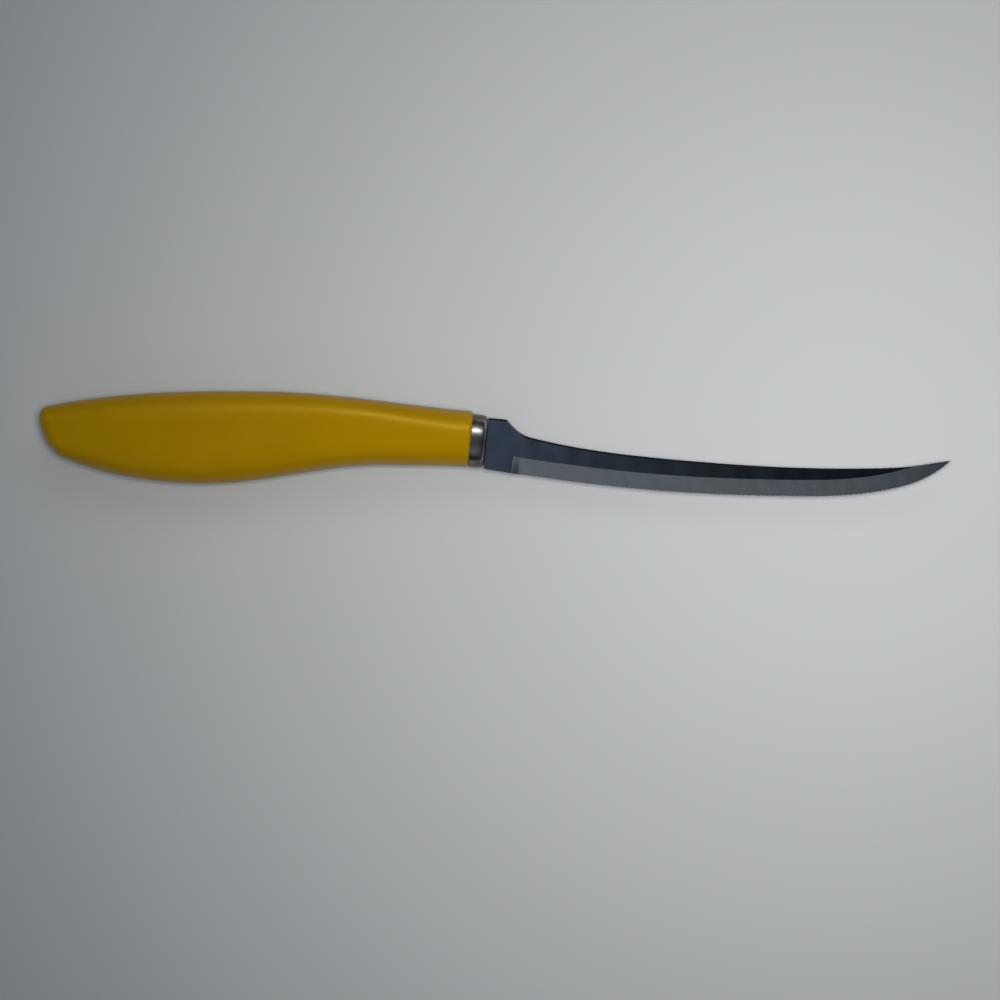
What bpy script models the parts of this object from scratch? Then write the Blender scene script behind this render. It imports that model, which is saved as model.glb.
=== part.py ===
"""Slim paring knife: a finely serrated blade, a bright collar and a moulded handle.

Metres, +Z up. The knife lies on its flank as it does on a table. X runs along the handle
towards the tip, Y runs from the edge towards the back of the blade, and Z goes through the
thickness, with 0 at the flank that the knife rests on.

The pieces are built around the middle of the collar's rear face, which is the knife's own
zero. The handle lies along X there. The blade and the collar droop from it by NOSE_DROOP.
"""

import math

import bmesh
import bpy
from mathutils import Matrix, Vector

# Clearance between two pieces that meet
FIT_GAP = 0.0003

# Blade and collar point down from the handle's line by this angle
NOSE_DROOP = math.radians(4.1)

# Handle: its length and the heights of its outline above and below the knife's zero
HANDLE_LENGTH = 0.1049
HANDLE_THICKNESS = 0.0140
CROWN_HEIGHT = 0.01085
BELLY_DROP = 0.0120
HOLLOW_DROP = 0.0064
BUTT_TOP = 0.00675
BUTT_BOTTOM = 0.0059
BUTT_THICKNESS = 0.0118
BUTT_BULGE = 0.0039
BUTT_SLANT = 0.0056
BUTT_EASE = 0.0140
NOSE_TOP = 0.0072
NOSE_BOTTOM = 0.0064
NOSE_THICKNESS = 0.0124
NOSE_EASE = 0.0300
NOSE_EDGE_RADIUS = 0.0008

# Where the outline is highest, deepest and drawn in, as shares of the handle's length
CROWN_SHARE = 0.46
BELLY_SHARE = 0.633
HOLLOW_SHARE = 0.195

# Slopes of the outline at the butt and at the nose, rise over run
BUTT_TOP_SLOPE = 0.20
BUTT_BOTTOM_SLOPE = 0.40
NOSE_TOP_SLOPE = 0.06
NOSE_BOTTOM_SLOPE = 0.03

# Handle section: share of the depth that is flat on each flank, and squareness of its shoulders
FLANK_FLAT = 0.25
NOSE_FLAT = 0.10
BODY_SQUARENESS = 2.5
NOSE_SQUARENESS = 2.0

# Collar: an oval cup that slips over the handle's spigot, slimmer on each side at its front
COLLAR_LENGTH = 0.0037
COLLAR_DEPTH = 0.0130
COLLAR_THICKNESS = 0.0116
COLLAR_WALL = 0.0006
COLLAR_TAPER = 0.0003
COLLAR_EDGE_RADIUS = 0.0010

# Blade strip, measured from the collar's front face along the blade. The back's chamfer goes
# BACK_CHAMFER down the side and BACK_INSET in from it. Near the tip it goes at most CHAMFER_MOST
# of the depth down, and the back keeps POINT_HALF_THICKNESS.
BLADE_THICKNESS = 0.0012
BLADE_REACH = 0.1139
TIP_RISE = 0.0061
HEEL_TOP = 0.0059
HEEL_BOTTOM = 0.0066
HEEL_FLAT_LENGTH = 0.0039
HEEL_SHOULDER_LENGTH = 0.0017
HEEL_SHOULDER_DROP = 0.00125
HEEL_CURVE_LENGTH = 0.0047
BACK_START = 0.0021
BACK_LOW = 0.0
BACK_RISE = 0.0030
EDGE_LOW = 0.0081
EDGE_MIDDLE = 0.0063
EDGE_SWEEP = 0.0022
BACK_CHAMFER = 0.00045
BACK_INSET = 0.0003
CHAMFER_MOST = 0.2
POINT_HALF_THICKNESS = 0.00002

# Where those heights lie, as shares of the blade's reach
BACK_LOW_SHARE = 0.387
BACK_RISE_SHARE = 0.875
EDGE_LOW_SHARE = 0.332
EDGE_MIDDLE_SHARE = 0.670
EDGE_SWEEP_SHARE = 0.881

# Slopes of the back and of the edge where they don't lie level
SHOULDER_SLOPE = -0.85
BACK_START_SLOPE = -0.16
BACK_RISE_SLOPE = 0.13
BACK_TIP_SLOPE = 0.23
EDGE_HEEL_SLOPE = -0.074
EDGE_MIDDLE_SLOPE = 0.082
EDGE_SWEEP_SLOPE = 0.322
EDGE_TIP_SLOPE = 1.13

# Ground band along the edge, and the place where the grinding wheel entered
GRIND_WIDTH = 0.0041
GRIND_START = 0.0065
GRIND_RUN_OUT = 0.0024
EDGE_THICKNESS = 0.0001

# Fine serration, ground into the face that looks down in this pose. Near the tip a scallop is
# at most SCALLOP_MOST of the depth.
TOOTH_PITCH = 0.0012
TOOTH_DEPTH = 0.00025
SCALLOP_HEIGHT = 0.0009
SCALLOP_MOST = 0.3
STEPS_PER_TOOTH = 4

# Tang inside the handle, in line with the blade; TANG_ROOT is how far it is let into the heel
TANG_LENGTH = 0.058
TANG_DEPTH = 0.0070
TANG_HOLE_RADIUS = 0.0019
TANG_FIRST_HOLE = 0.017
TANG_HOLE_SPACING = 0.021
TANG_HOLES = 2
TANG_ROOT = 0.0025

# Fineness of the facets
HANDLE_STATIONS = 30
ROUNDING_STEPS = 5
END_STEPS = 10
QUARTER_STEPS = 8
HEEL_STEP = 0.0004
BAND_STEP_TEETH = 2
HOLE_SIDES = 20
HALVINGS = 40

WELD_DISTANCE = 1e-7
SHARP_ANGLE = math.radians(28)

# Colours, roughness and metalness of the three finishes
YELLOW_PLASTIC = (0.58, 0.33, 0.006), 0.45, 0.0
BRIGHT_STEEL = (0.62, 0.61, 0.59), 0.12, 1.0
GROUND_STEEL = (0.50, 0.51, 0.53), 0.30, 1.0


def clear_scene():
    """Start from an empty scene."""
    for leftover in list(bpy.data.objects):
        bpy.data.objects.remove(leftover, do_unlink=True)


def new_collection(name):
    """Make a collection in the scene."""
    made = bpy.data.collections.new(name)
    bpy.context.scene.collection.children.link(made)
    return made


def finish_material(name, colour, roughness, metallic):
    """Make a plain material for one piece."""
    material = bpy.data.materials.new(name)
    material.use_nodes = True
    shader = material.node_tree.nodes["Principled BSDF"]
    shader.inputs["Base Color"].default_value = (*colour, 1.0)
    shader.inputs["Roughness"].default_value = roughness
    shader.inputs["Metallic"].default_value = metallic
    return material


def eased(share):
    """Go from 0 to 1 with a level start and end."""
    held = min(max(share, 0.0), 1.0)
    return held * held * (3.0 - 2.0 * held)


def blend(start, end, share):
    """Mix two numbers or vectors."""
    return start + (end - start) * share


def height_on(knots, x):
    """Height at x of a smooth line through knots of place, height and slope."""
    spans = list(zip(knots, knots[1:]))
    span = next((pair for pair in spans if x <= pair[1][0]), spans[-1])
    (start, low, low_slope), (end, high, high_slope) = span
    width = end - start
    t = (x - start) / width
    level = low + (high - low) * t * t * (3 - 2 * t)
    leave = low_slope * t * (1 - t) ** 2
    arrive = high_slope * t * t * (1 - t)
    return level + width * (leave - arrive)


def nose_to_knife(along, across):
    """Turn a place given along the drooping blade into the knife's own directions."""
    return Matrix.Rotation(-NOSE_DROOP, 2) @ Vector((along, across))


def knife_to_nose(along, across):
    """Turn a place in the knife's own directions into one along the drooping blade."""
    return Matrix.Rotation(NOSE_DROOP, 2) @ Vector((along, across))


def oval_ring(half_depth, half_thickness, flat, squareness):
    """Points of a closed oval as pairs of across and through, with a flat on each flank."""
    half_flat = half_depth * flat
    quarter = []
    for step in range(QUARTER_STEPS + 1):
        turn = 0.5 * math.pi * step / QUARTER_STEPS
        across = max(math.cos(turn), 0.0) ** (2.0 / squareness)
        through = math.sin(turn) ** (2.0 / squareness)
        quarter.append((half_flat + (half_depth - half_flat) * across, half_thickness * through))
    upper = quarter + [(-y, z) for y, z in reversed(quarter)]
    lower = [(y, -z) for y, z in reversed(upper[1:-1])]
    return upper + lower


def section(centre, direction, ring):
    """Stand a ring up at a centre, with its depth along a direction in the XY plane."""
    return [Vector((*(centre + direction * across), through)) for across, through in ring]


def skin(rings, name):
    """Join rings of equal length into one closed mesh with a cap at each end."""
    bm = bmesh.new()
    rows = [[bm.verts.new(point) for point in ring] for ring in rings]
    count = len(rows[0])
    for near, far in zip(rows, rows[1:]):
        for i in range(count):
            j = (i + 1) % count
            bm.faces.new((near[i], near[j], far[j], far[i]))
    bm.faces.new(rows[0])
    bm.faces.new(rows[-1])
    return finished_mesh(bm, name)


def finished_mesh(bm, name):
    """Weld, turn the faces outwards and shade a hand-built mesh."""
    bmesh.ops.remove_doubles(bm, verts=bm.verts, dist=WELD_DISTANCE)
    bmesh.ops.recalc_face_normals(bm, faces=bm.faces)
    mesh = bpy.data.meshes.new(name)
    bm.to_mesh(mesh)
    bm.free()
    mesh.shade_smooth()
    mesh.set_sharp_from_angle(angle=SHARP_ANGLE)
    return mesh


def place(name, mesh, collection, parent, droop=False):
    """Put a mesh in a collection under the knife, along the handle or along the blade."""
    piece = bpy.data.objects.new(name, mesh)
    collection.objects.link(piece)
    piece.parent = parent
    piece.rotation_euler.z = -NOSE_DROOP if droop else 0.0
    return piece


def tool(name, mesh, collection, parent, droop=False):
    """Place a cutter, which isn't part of the knife."""
    cutter = place(name, mesh, collection, parent, droop)
    cutter.hide_render = True
    cutter.display_type = "WIRE"
    return cutter


def boolean(piece, other, operation):
    """Cut a piece with another shape, or join the shape to it."""
    modifier = piece.modifiers.new(other.name, "BOOLEAN")
    modifier.operation = operation
    modifier.solver = "EXACT"
    modifier.object = other


def plate_mesh(name, outline, holes, thickness):
    """Flat plate with holes, made from a filled outline."""
    curve = bpy.data.curves.new(name, "CURVE")
    curve.dimensions = "2D"
    curve.fill_mode = "BOTH"
    curve.extrude = 0.5 * thickness
    for points in [outline, *holes]:
        spline = curve.splines.new("POLY")
        spline.points.add(len(points) - 1)
        for knot, (x, y) in zip(spline.points, points):
            knot.co = (x, y, 0.0, 1.0)
        spline.use_cyclic_u = True
    drawn = bpy.data.objects.new(name, curve)
    bpy.context.scene.collection.objects.link(drawn)
    bpy.context.view_layer.update()
    seen = drawn.evaluated_get(bpy.context.evaluated_depsgraph_get())
    mesh = bpy.data.meshes.new_from_object(seen)
    bpy.data.objects.remove(drawn, do_unlink=True)
    bpy.data.curves.remove(curve)
    bm = bmesh.new()
    bm.from_mesh(mesh)
    bmesh.ops.remove_doubles(bm, verts=bm.verts, dist=WELD_DISTANCE)
    bmesh.ops.recalc_face_normals(bm, faces=bm.faces)
    bm.to_mesh(mesh)
    bm.free()
    return mesh


def handle_top(x):
    """Height of the handle's top line."""
    return height_on(
        [
            (-HANDLE_LENGTH + BUTT_BULGE, BUTT_TOP, BUTT_TOP_SLOPE),
            (-HANDLE_LENGTH * CROWN_SHARE, CROWN_HEIGHT, 0.0),
            (0.0, NOSE_TOP, -NOSE_TOP_SLOPE),
        ],
        x,
    )


def handle_bottom(x):
    """Height of the handle's lower line, below zero."""
    return height_on(
        [
            (-HANDLE_LENGTH + BUTT_BULGE, -BUTT_BOTTOM, -BUTT_BOTTOM_SLOPE),
            (-HANDLE_LENGTH * BELLY_SHARE, -BELLY_DROP, 0.0),
            (-HANDLE_LENGTH * HOLLOW_SHARE, -HOLLOW_DROP, 0.0),
            (0.0, -NOSE_BOTTOM, -NOSE_BOTTOM_SLOPE),
        ],
        x,
    )


def handle_half_thickness(x):
    """Half the handle's thickness: level along the flank, less at the nose and the butt."""
    to_nose = eased(1.0 + x / NOSE_EASE)
    to_butt = eased(1.0 - (x + HANDLE_LENGTH - BUTT_BULGE) / BUTT_EASE)
    at_nose = (HANDLE_THICKNESS - NOSE_THICKNESS) * to_nose
    at_butt = (HANDLE_THICKNESS - BUTT_THICKNESS) * to_butt
    return 0.5 * (HANDLE_THICKNESS - at_nose - at_butt)


def handle_section(share):
    """Centre, half depth direction and ring shape of the handle, from butt 0 to nose 1."""
    butt_x = -HANDLE_LENGTH + BUTT_BULGE
    last_along = -FIT_GAP - NOSE_EDGE_RADIUS
    nose_top_x = nose_to_knife(last_along, NOSE_TOP).x
    nose_bottom_x = nose_to_knife(last_along, -NOSE_BOTTOM).x
    top_x = blend(butt_x - 0.5 * BUTT_SLANT, nose_top_x, share)
    bottom_x = blend(butt_x + 0.5 * BUTT_SLANT, nose_bottom_x, share)
    top = Vector((top_x, handle_top(top_x)))
    bottom = Vector((bottom_x, handle_bottom(bottom_x)))
    centre = 0.5 * (top + bottom)
    to_nose = eased(1.0 + centre.x / NOSE_EASE)
    flat = blend(FLANK_FLAT, NOSE_FLAT, to_nose)
    squareness = blend(BODY_SQUARENESS, NOSE_SQUARENESS, to_nose)
    half_depth = 0.5 * (top - bottom).length
    return centre, (top - bottom).normalized(), half_depth, flat, squareness


def handle_rings():
    """Rings of the handle from the butt's pole to the end of the spigot."""
    rings = []
    centre, direction, depth, flat, squareness = handle_section(0.0)
    half = handle_half_thickness(centre.x)
    taper = 0.5 * (BUTT_TOP_SLOPE + BUTT_BOTTOM_SLOPE) * BUTT_BULGE
    for step in range(END_STEPS):
        turn = 0.5 * math.pi * (1.0 - step / END_STEPS)
        bulge = math.sin(turn)
        shrink = max(math.cos(turn), WELD_DISTANCE)
        ring_depth = depth * shrink - taper * bulge * (1.0 - bulge)
        ring = oval_ring(ring_depth, half * shrink, flat, squareness)
        rings.append(section(centre + Vector((-BUTT_BULGE * bulge, 0.0)), direction, ring))
    for station in range(HANDLE_STATIONS + 1):
        centre, direction, depth, flat, squareness = handle_section(station / HANDLE_STATIONS)
        half = handle_half_thickness(centre.x)
        rings.append(section(centre, direction, oval_ring(depth, half, flat, squareness)))
    forward = nose_to_knife(1.0, 0.0)
    for step in range(1, ROUNDING_STEPS + 1):
        turn = 0.5 * math.pi * step / ROUNDING_STEPS
        inset = NOSE_EDGE_RADIUS * (1.0 - math.cos(turn))
        out = forward * NOSE_EDGE_RADIUS * math.sin(turn)
        ring = oval_ring(depth - inset, half - inset, flat, squareness)
        rings.append(section(centre + out, direction, ring))
    return rings + spigot_rings()


def collar_ring(along, inset):
    """Oval of the collar at a distance from its rear face, smaller by inset all round."""
    smaller = inset + COLLAR_TAPER * along / COLLAR_LENGTH
    depth = 0.5 * COLLAR_DEPTH - smaller
    half = 0.5 * COLLAR_THICKNESS - smaller
    return oval_ring(depth, half, NOSE_FLAT, NOSE_SQUARENESS)


def spigot_rings():
    """Two rings of the spigot that the collar slips over."""
    up = nose_to_knife(0.0, 1.0)
    rings = []
    for along in (-FIT_GAP, COLLAR_LENGTH - COLLAR_WALL - FIT_GAP):
        ring = collar_ring(along, COLLAR_WALL + FIT_GAP)
        rings.append(section(nose_to_knife(along, 0.0), up, ring))
    return rings


def tang_outline(grow, front):
    """Outline of the tang, larger by grow all round, from its rear end to front."""
    half = 0.5 * TANG_DEPTH + grow
    rear = -TANG_LENGTH - grow
    end = []
    for step in range(END_STEPS + 1):
        turn = math.pi * (0.5 + step / END_STEPS)
        end.append(knife_to_nose(rear + half + half * math.cos(turn), half * math.sin(turn)))
    outline = [(front, -half), (front, half), (0.0, half)]
    return outline + [tuple(point) for point in end] + [(0.0, -half)]


def tang_holes(radius):
    """Rims of the holes in the tang."""
    rims = []
    for number in range(TANG_HOLES):
        middle = Vector((-TANG_FIRST_HOLE - number * TANG_HOLE_SPACING, 0.0))
        rim = []
        for side in range(HOLE_SIDES):
            turn = 2.0 * math.pi * side / HOLE_SIDES
            point = middle + radius * Vector((math.cos(turn), math.sin(turn)))
            rim.append(tuple(knife_to_nose(*point)))
        rims.append(rim)
    return rims


def make_handle(collection, cutters, knife):
    """One moulding with a pocket for the tang and pillars through the tang's holes."""
    handle = place("handle", skin(handle_rings(), "handle"), collection, knife)
    pocket = plate_mesh(
        "tang_pocket",
        tang_outline(FIT_GAP, COLLAR_LENGTH),
        tang_holes(TANG_HOLE_RADIUS - FIT_GAP),
        BLADE_THICKNESS + 2.0 * FIT_GAP,
    )
    boolean(handle, tool("tang_pocket", pocket, cutters, knife, droop=True), "DIFFERENCE")
    return handle


def make_collar(collection, cutters, knife):
    """Oval cup with a rounded front edge and a slot that the tang goes through."""
    outline = [(COLLAR_LENGTH - COLLAR_WALL, COLLAR_WALL), (0.0, COLLAR_WALL), (0.0, 0.0)]
    for step in range(ROUNDING_STEPS + 1):
        turn = 0.5 * math.pi * step / ROUNDING_STEPS
        along = COLLAR_LENGTH - COLLAR_EDGE_RADIUS * (1.0 - math.sin(turn))
        outline.append((along, COLLAR_EDGE_RADIUS * (1.0 - math.cos(turn))))
    up = Vector((0.0, 1.0))
    rings = [section(Vector((along, 0.0)), up, collar_ring(along, inset)) for along, inset in outline]
    collar = place("collar", skin(rings, "collar"), collection, knife, droop=True)
    bm = bmesh.new()
    slot_size = Vector(
        (2.0 * COLLAR_LENGTH, TANG_DEPTH + 2.0 * FIT_GAP, BLADE_THICKNESS + 2.0 * FIT_GAP)
    )
    slot_place = Matrix.Translation((COLLAR_LENGTH, 0.0, 0.0)) @ Matrix.Diagonal((*slot_size, 1.0))
    bmesh.ops.create_cube(bm, size=1.0, matrix=slot_place)
    slot = finished_mesh(bm, "collar_slot")
    boolean(collar, tool("collar_slot", slot, cutters, knife, droop=True), "DIFFERENCE")
    return collar


def blade_place(share):
    """Place along the blade of a share of its reach."""
    return COLLAR_LENGTH + BLADE_REACH * share


def back_height(x):
    """Height of the blade's back, over the heel and out to the tip."""
    shoulder = COLLAR_LENGTH + FIT_GAP + HEEL_FLAT_LENGTH
    slope_at = shoulder + HEEL_SHOULDER_LENGTH
    foot = slope_at + HEEL_CURVE_LENGTH
    if x <= shoulder:
        return HEEL_TOP
    return height_on(
        [
            (shoulder, HEEL_TOP, 0.0),
            (slope_at, HEEL_TOP - HEEL_SHOULDER_DROP, SHOULDER_SLOPE),
            (foot, BACK_START, BACK_START_SLOPE),
            (blade_place(BACK_LOW_SHARE), BACK_LOW, 0.0),
            (blade_place(BACK_RISE_SHARE), BACK_RISE, BACK_RISE_SLOPE),
            (blade_place(1.0), TIP_RISE, BACK_TIP_SLOPE),
        ],
        x,
    )


def edge_height(x):
    """Height of the cutting edge, below zero along most of the blade."""
    return height_on(
        [
            (COLLAR_LENGTH, -HEEL_BOTTOM, EDGE_HEEL_SLOPE),
            (blade_place(EDGE_LOW_SHARE), -EDGE_LOW, 0.0),
            (blade_place(EDGE_MIDDLE_SHARE), -EDGE_MIDDLE, EDGE_MIDDLE_SLOPE),
            (blade_place(EDGE_SWEEP_SHARE), -EDGE_SWEEP, EDGE_SWEEP_SLOPE),
            (blade_place(1.0), TIP_RISE, EDGE_TIP_SLOPE),
        ],
        x,
    )


def edge_walk():
    """Points along the edge: short steps past the heel, then even steps along the teeth.

    Returns the points, and the index of the first one that belongs to the toothed length.
    """
    grind_end = COLLAR_LENGTH + GRIND_START + GRIND_RUN_OUT
    heel_start = COLLAR_LENGTH + FIT_GAP
    heel_steps = math.ceil((grind_end - heel_start) / HEEL_STEP)
    heel = [blend(heel_start, grind_end, step / heel_steps) for step in range(heel_steps)]
    tip = blade_place(1.0)
    fine = TOOTH_PITCH / STEPS_PER_TOOTH
    x = grind_end
    walk = list(heel)
    while x < tip - 0.5 * fine:
        walk.append(x)
        rise = edge_height(x + 0.5 * fine) - edge_height(x - 0.5 * fine)
        x += fine / math.hypot(1.0, rise / fine)
    return [Vector((x, edge_height(x))) for x in walk], heel_steps


def across_blade(foot):
    """Direction across the blade at a point of its edge, upright at the heel."""
    step = 0.5 * TOOTH_PITCH
    before = Vector((foot.x - step, edge_height(foot.x - step)))
    after = Vector((foot.x + step, edge_height(foot.x + step)))
    along = (after - before).normalized()
    square = Vector((-along.y, along.x))
    share = eased((foot.x - COLLAR_LENGTH) / GRIND_START)
    return blend(Vector((0.0, 1.0)), square, share).normalized()


def depth_at(foot, direction):
    """Distance from the edge to the back, across the blade."""
    low = 0.0
    high = 2.0 * (HEEL_TOP + EDGE_LOW)
    for _ in range(HALVINGS):
        middle = 0.5 * (low + high)
        reached = foot + direction * middle
        if reached.y < back_height(reached.x):
            low = middle
        else:
            high = middle
    return low


def half_thickness(distance, ground):
    """Half the blade's thickness at a distance from the edge; ground goes from 0 to 1."""
    missing = max(1.0 - distance / GRIND_WIDTH, 0.0)
    return 0.5 * (BLADE_THICKNESS - ground * missing * (BLADE_THICKNESS - EDGE_THICKNESS))


def blade_section(foot, tooth):
    """Nine points of one section, from the back's upper corner round to its lower corner.

    tooth is 0 at a tooth's point and 1 in the middle of the gap between two teeth.
    """
    direction = across_blade(foot)
    depth = depth_at(foot, direction)
    ground = eased((foot.x - COLLAR_LENGTH - GRIND_START) / GRIND_RUN_OUT)
    chamfer = min(BACK_CHAMFER, CHAMFER_MOST * depth)
    body_top = depth - chamfer
    band_top = min(GRIND_WIDTH, body_top)
    bite = tooth * min(1.0, SCALLOP_MOST * depth / SCALLOP_HEIGHT)
    cut = TOOTH_DEPTH * bite
    scallop = SCALLOP_HEIGHT * bite
    inset = BACK_INSET * chamfer / BACK_CHAMFER
    back = max(half_thickness(depth, ground) - inset, POINT_HALF_THICKNESS)
    land = half_thickness(cut, ground)
    land_width = 2.0 * half_thickness(0.0, ground)
    profile = [
        (depth, back),
        (body_top, half_thickness(body_top, ground)),
        (band_top, half_thickness(band_top, ground)),
        (cut, land),
        (cut, land - land_width),
        (scallop, -half_thickness(scallop, ground)),
        (band_top, -half_thickness(band_top, ground)),
        (body_top, -half_thickness(body_top, ground)),
        (depth, -back),
    ]
    return [Vector((*(foot + direction * away), through)) for away, through in profile]


def blade_mesh():
    """Blade from the heel to the tip, lofted along its edge, with its serration."""
    feet, first_tooth = edge_walk()
    toothed = len(feet) - first_tooth
    sections = []
    for index, foot in enumerate(feet):
        phase = ((index - first_tooth) % STEPS_PER_TOOTH) / STEPS_PER_TOOTH
        tooth = 1.0 - (2.0 * phase - 1.0) ** 2 if index > first_tooth else 0.0
        sections.append(blade_section(foot, tooth))
    tip = Vector((blade_place(1.0), TIP_RISE, 0.0))
    sections.append([tip] * len(sections[0]))
    stride = BAND_STEP_TEETH * STEPS_PER_TOOTH
    posts = list(range(first_tooth)) + list(range(first_tooth, first_tooth + toothed, stride))
    posts.append(len(sections) - 1)
    bm = bmesh.new()
    rows = [[bm.verts.new(point) for point in row] for row in zip(*sections)]
    back_up, body_up, band_up, edge_up, edge_down, scallop, band_down, body_down, back_down = rows
    coarse = (back_up, body_up, band_up), (band_down, body_down, back_down, back_up)
    for start, end in zip(posts, posts[1:]):
        for group in coarse:
            for one, other in zip(group, group[1:]):
                bm.faces.new((one[start], one[end], other[end], other[start]))
        run = range(start, end + 1)
        bm.faces.new([band_up[start], band_up[end]] + [edge_up[i] for i in reversed(run)])
        bm.faces.new([band_down[end], band_down[start]] + [scallop[i] for i in run])
    for index in range(len(sections) - 1):
        for one, other in ((edge_up, edge_down), (edge_down, scallop)):
            bm.faces.new((one[index], one[index + 1], other[index + 1], other[index]))
    bm.faces.new([row[0] for row in rows])
    loose = [vert for vert in bm.verts if not vert.link_faces]
    bmesh.ops.delete(bm, geom=loose, context="VERTS")
    return finished_mesh(bm, "blade")


def make_blade(collection, cutters, knife):
    """One stamped strip: the ground blade, its heel, and the tang with its holes."""
    blade = place("blade", blade_mesh(), collection, knife, droop=True)
    root = COLLAR_LENGTH + FIT_GAP + TANG_ROOT
    tang = plate_mesh(
        "tang", tang_outline(0.0, root), tang_holes(TANG_HOLE_RADIUS), BLADE_THICKNESS
    )
    boolean(blade, tool("tang", tang, cutters, knife, droop=True), "UNION")
    return blade


def stand_on_zero(knife, pieces):
    """Move the knife so that its box stands on Z 0, centred on X and Y."""
    bpy.context.view_layer.update()
    seen = bpy.context.evaluated_depsgraph_get()
    corners = []
    for piece in pieces:
        shape = piece.evaluated_get(seen)
        corners += [shape.matrix_world @ vert.co for vert in shape.data.vertices]
    lows = [min(corner[axis] for corner in corners) for axis in range(3)]
    highs = [max(corner[axis] for corner in corners) for axis in range(3)]
    knife.location = (-0.5 * (lows[0] + highs[0]), -0.5 * (lows[1] + highs[1]), -lows[2])


def build():
    """Build the knife."""
    clear_scene()
    pieces = new_collection("paring_knife")
    cutters = new_collection("cutters")
    knife = bpy.data.objects.new("knife", None)
    pieces.objects.link(knife)
    handle = make_handle(pieces, cutters, knife)
    collar = make_collar(pieces, cutters, knife)
    blade = make_blade(pieces, cutters, knife)
    handle.data.materials.append(finish_material("yellow_plastic", *YELLOW_PLASTIC))
    collar.data.materials.append(finish_material("bright_collar", *BRIGHT_STEEL))
    blade.data.materials.append(finish_material("ground_steel", *GROUND_STEEL))
    stand_on_zero(knife, (handle, collar, blade))


build()
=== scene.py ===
"""Looks of a slim serrated paring knife that lies on its flank.

Metres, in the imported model's frame: +X towards the tip, +Y from the cutting edge towards the back
of the blade, +Z up, with 0 at the flank that the knife rests on. Every piece is drawn finer than
its solid, from the same sizes. The knife has its own zero in the middle of the collar's rear face:
the handle lies along X there, and the blade and the collar droop from it.
"""

import logging
import math
from collections.abc import Mapping, Sequence
from dataclasses import dataclass
from enum import Enum
from typing import NamedTuple

import bmesh
import bpy
from mathutils import Matrix, Vector


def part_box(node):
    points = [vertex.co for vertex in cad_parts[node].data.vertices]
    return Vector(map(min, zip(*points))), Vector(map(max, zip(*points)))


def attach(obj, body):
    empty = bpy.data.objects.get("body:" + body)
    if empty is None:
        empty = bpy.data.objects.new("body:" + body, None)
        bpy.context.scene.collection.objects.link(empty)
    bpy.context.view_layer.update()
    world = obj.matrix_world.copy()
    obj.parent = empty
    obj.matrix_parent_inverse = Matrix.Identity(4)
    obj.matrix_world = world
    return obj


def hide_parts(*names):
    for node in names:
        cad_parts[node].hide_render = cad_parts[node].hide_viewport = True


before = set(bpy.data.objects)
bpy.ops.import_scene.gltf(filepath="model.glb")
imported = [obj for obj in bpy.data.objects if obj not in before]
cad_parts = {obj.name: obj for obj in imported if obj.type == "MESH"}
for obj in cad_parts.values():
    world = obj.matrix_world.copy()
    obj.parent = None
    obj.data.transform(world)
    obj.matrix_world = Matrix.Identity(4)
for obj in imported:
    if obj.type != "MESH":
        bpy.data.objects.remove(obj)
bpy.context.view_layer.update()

LOG = logging.getLogger("paring_knife")

# Points closer than this are one point
WELD_DISTANCE = 1e-7

# A gap that only keeps two faces from lying in one plane
HAIRLINE = 0.00002

# Blender's cameras count in millimetres
MILLIMETRES = 1000.0

# Faces that meet at more than this have a crisp edge between them
SHARP_ANGLE = math.radians(28)

# Point attributes that the metal finishes follow, in metres
LENGTHWISE = "lengthwise"
CROSSWISE = "crosswise"

# Attributes that only the serration reads
THROUGH = "through"
ROOM = "room"
ACROSS = "across"
GROUND = "ground"


class Knot(NamedTuple):
    """A point that a smooth outline goes through."""

    place: float
    height: float
    slope: float = 0.0


class Spot(NamedTuple):
    """A point of a ring, with what the finishes and the serration need to know of it.

    The point is given from the knife's zero. Lengthwise and crosswise are its places along and
    across the surface, through is its height from the knife's middle plane, room is the share of a
    full tooth that fits there, and across is the way from the edge to the back.
    """

    point: Vector
    lengthwise: float = 0.0
    crosswise: float = 0.0
    through: float = 0.0
    room: float = 0.0
    across: Vector = Vector()
    ground: bool = False


class Lay(Enum):
    """Which way the fine lines of a metal's finish run."""

    ALONG = "along the blade"
    ACROSS = "across the cutting edge"


def height_on(knots: Sequence[Knot], x: float) -> float:
    """Find the height of the smooth line through some knots.

    Args:
        knots: Knots in order of their places.
        x: Place along the line.

    Returns:
        The height there.
    """
    spans = list(zip(knots, knots[1:]))
    start, end = next((pair for pair in spans if x <= pair[1].place), spans[-1])
    width = end.place - start.place
    t = (x - start.place) / width
    level = start.height + (end.height - start.height) * t * t * (3 - 2 * t)
    return level + width * (start.slope * t * (1 - t) ** 2 - end.slope * t * t * (1 - t))


def eased(share: float) -> float:
    """Go from 0 to 1 with a level start and end."""
    held = min(max(share, 0.0), 1.0)
    return held * held * (3.0 - 2.0 * held)


def blend(start: float, end: float, share: float) -> float:
    """Mix two numbers."""
    return start + (end - start) * share


def linear(hex_code: str) -> tuple[float, float, float, float]:
    """Turn an sRGB hex colour into linear red, green, blue and full alpha."""
    levels = [int(hex_code[place : place + 2], 16) / 255 for place in (1, 3, 5)]
    red, green, blue = (
        level / 12.92 if level <= 0.04045 else ((level + 0.055) / 1.055) ** 2.4 for level in levels
    )
    return red, green, blue, 1.0


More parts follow.
